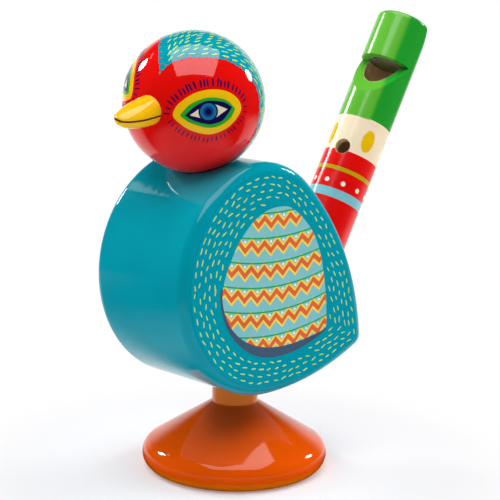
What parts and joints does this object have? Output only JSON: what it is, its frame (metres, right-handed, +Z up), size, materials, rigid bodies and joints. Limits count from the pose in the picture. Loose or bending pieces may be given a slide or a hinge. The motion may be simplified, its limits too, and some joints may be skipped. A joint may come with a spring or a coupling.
{
  "type": "bird call",
  "caption": "Lacquered wooden bird on a turned foot, with a ball head that turns on a peg and a fipple whistle with a finger hole for its tail.",
  "frame": {"origin": "centre of the foot's underside", "axes": "+Z up, the bird faces -Y, its left wing is on +X"},
  "size_m": [0.0574, 0.1271, 0.1399],
  "materials": {
    "foot_lacquer": "orange gloss lacquer",
    "body_lacquer": "teal gloss lacquer",
    "side_print": "printed paper under clear lacquer",
    "bare_wood": "bare",
    "head_lacquer": "red gloss lacquer with a teal cap",
    "beak_lacquer": "yellow gloss lacquer",
    "whistle_lacquer": "gloss lacquer in coloured bands"
  },
  "bodies": {
    "stand": {"foot": "foot_lacquer", "body_block": "body_lacquer", "side_print_left": "side_print", "side_print_right": "side_print"},
    "head": {"head_ball": "head_lacquer", "beak": "beak_lacquer", "neck_peg": "bare_wood"},
    "whistle": {"whistle_tube": "whistle_lacquer", "fipple_block": "bare_wood", "whistle_stopper": "bare_wood"}
  },
  "joints": [
    {"name": "head_turn", "type": "hinge", "parent": "stand", "child": "head", "pos_m": [0, -0.0036, 0.0632], "axis": [0, -0.2706, 0.9627], "continuous": true},
    {"name": "whistle_pull", "type": "slide", "parent": "stand", "child": "whistle", "axis": [0, 0.4901, 0.8716], "range_m": [0, 0.03]}
  ]
}
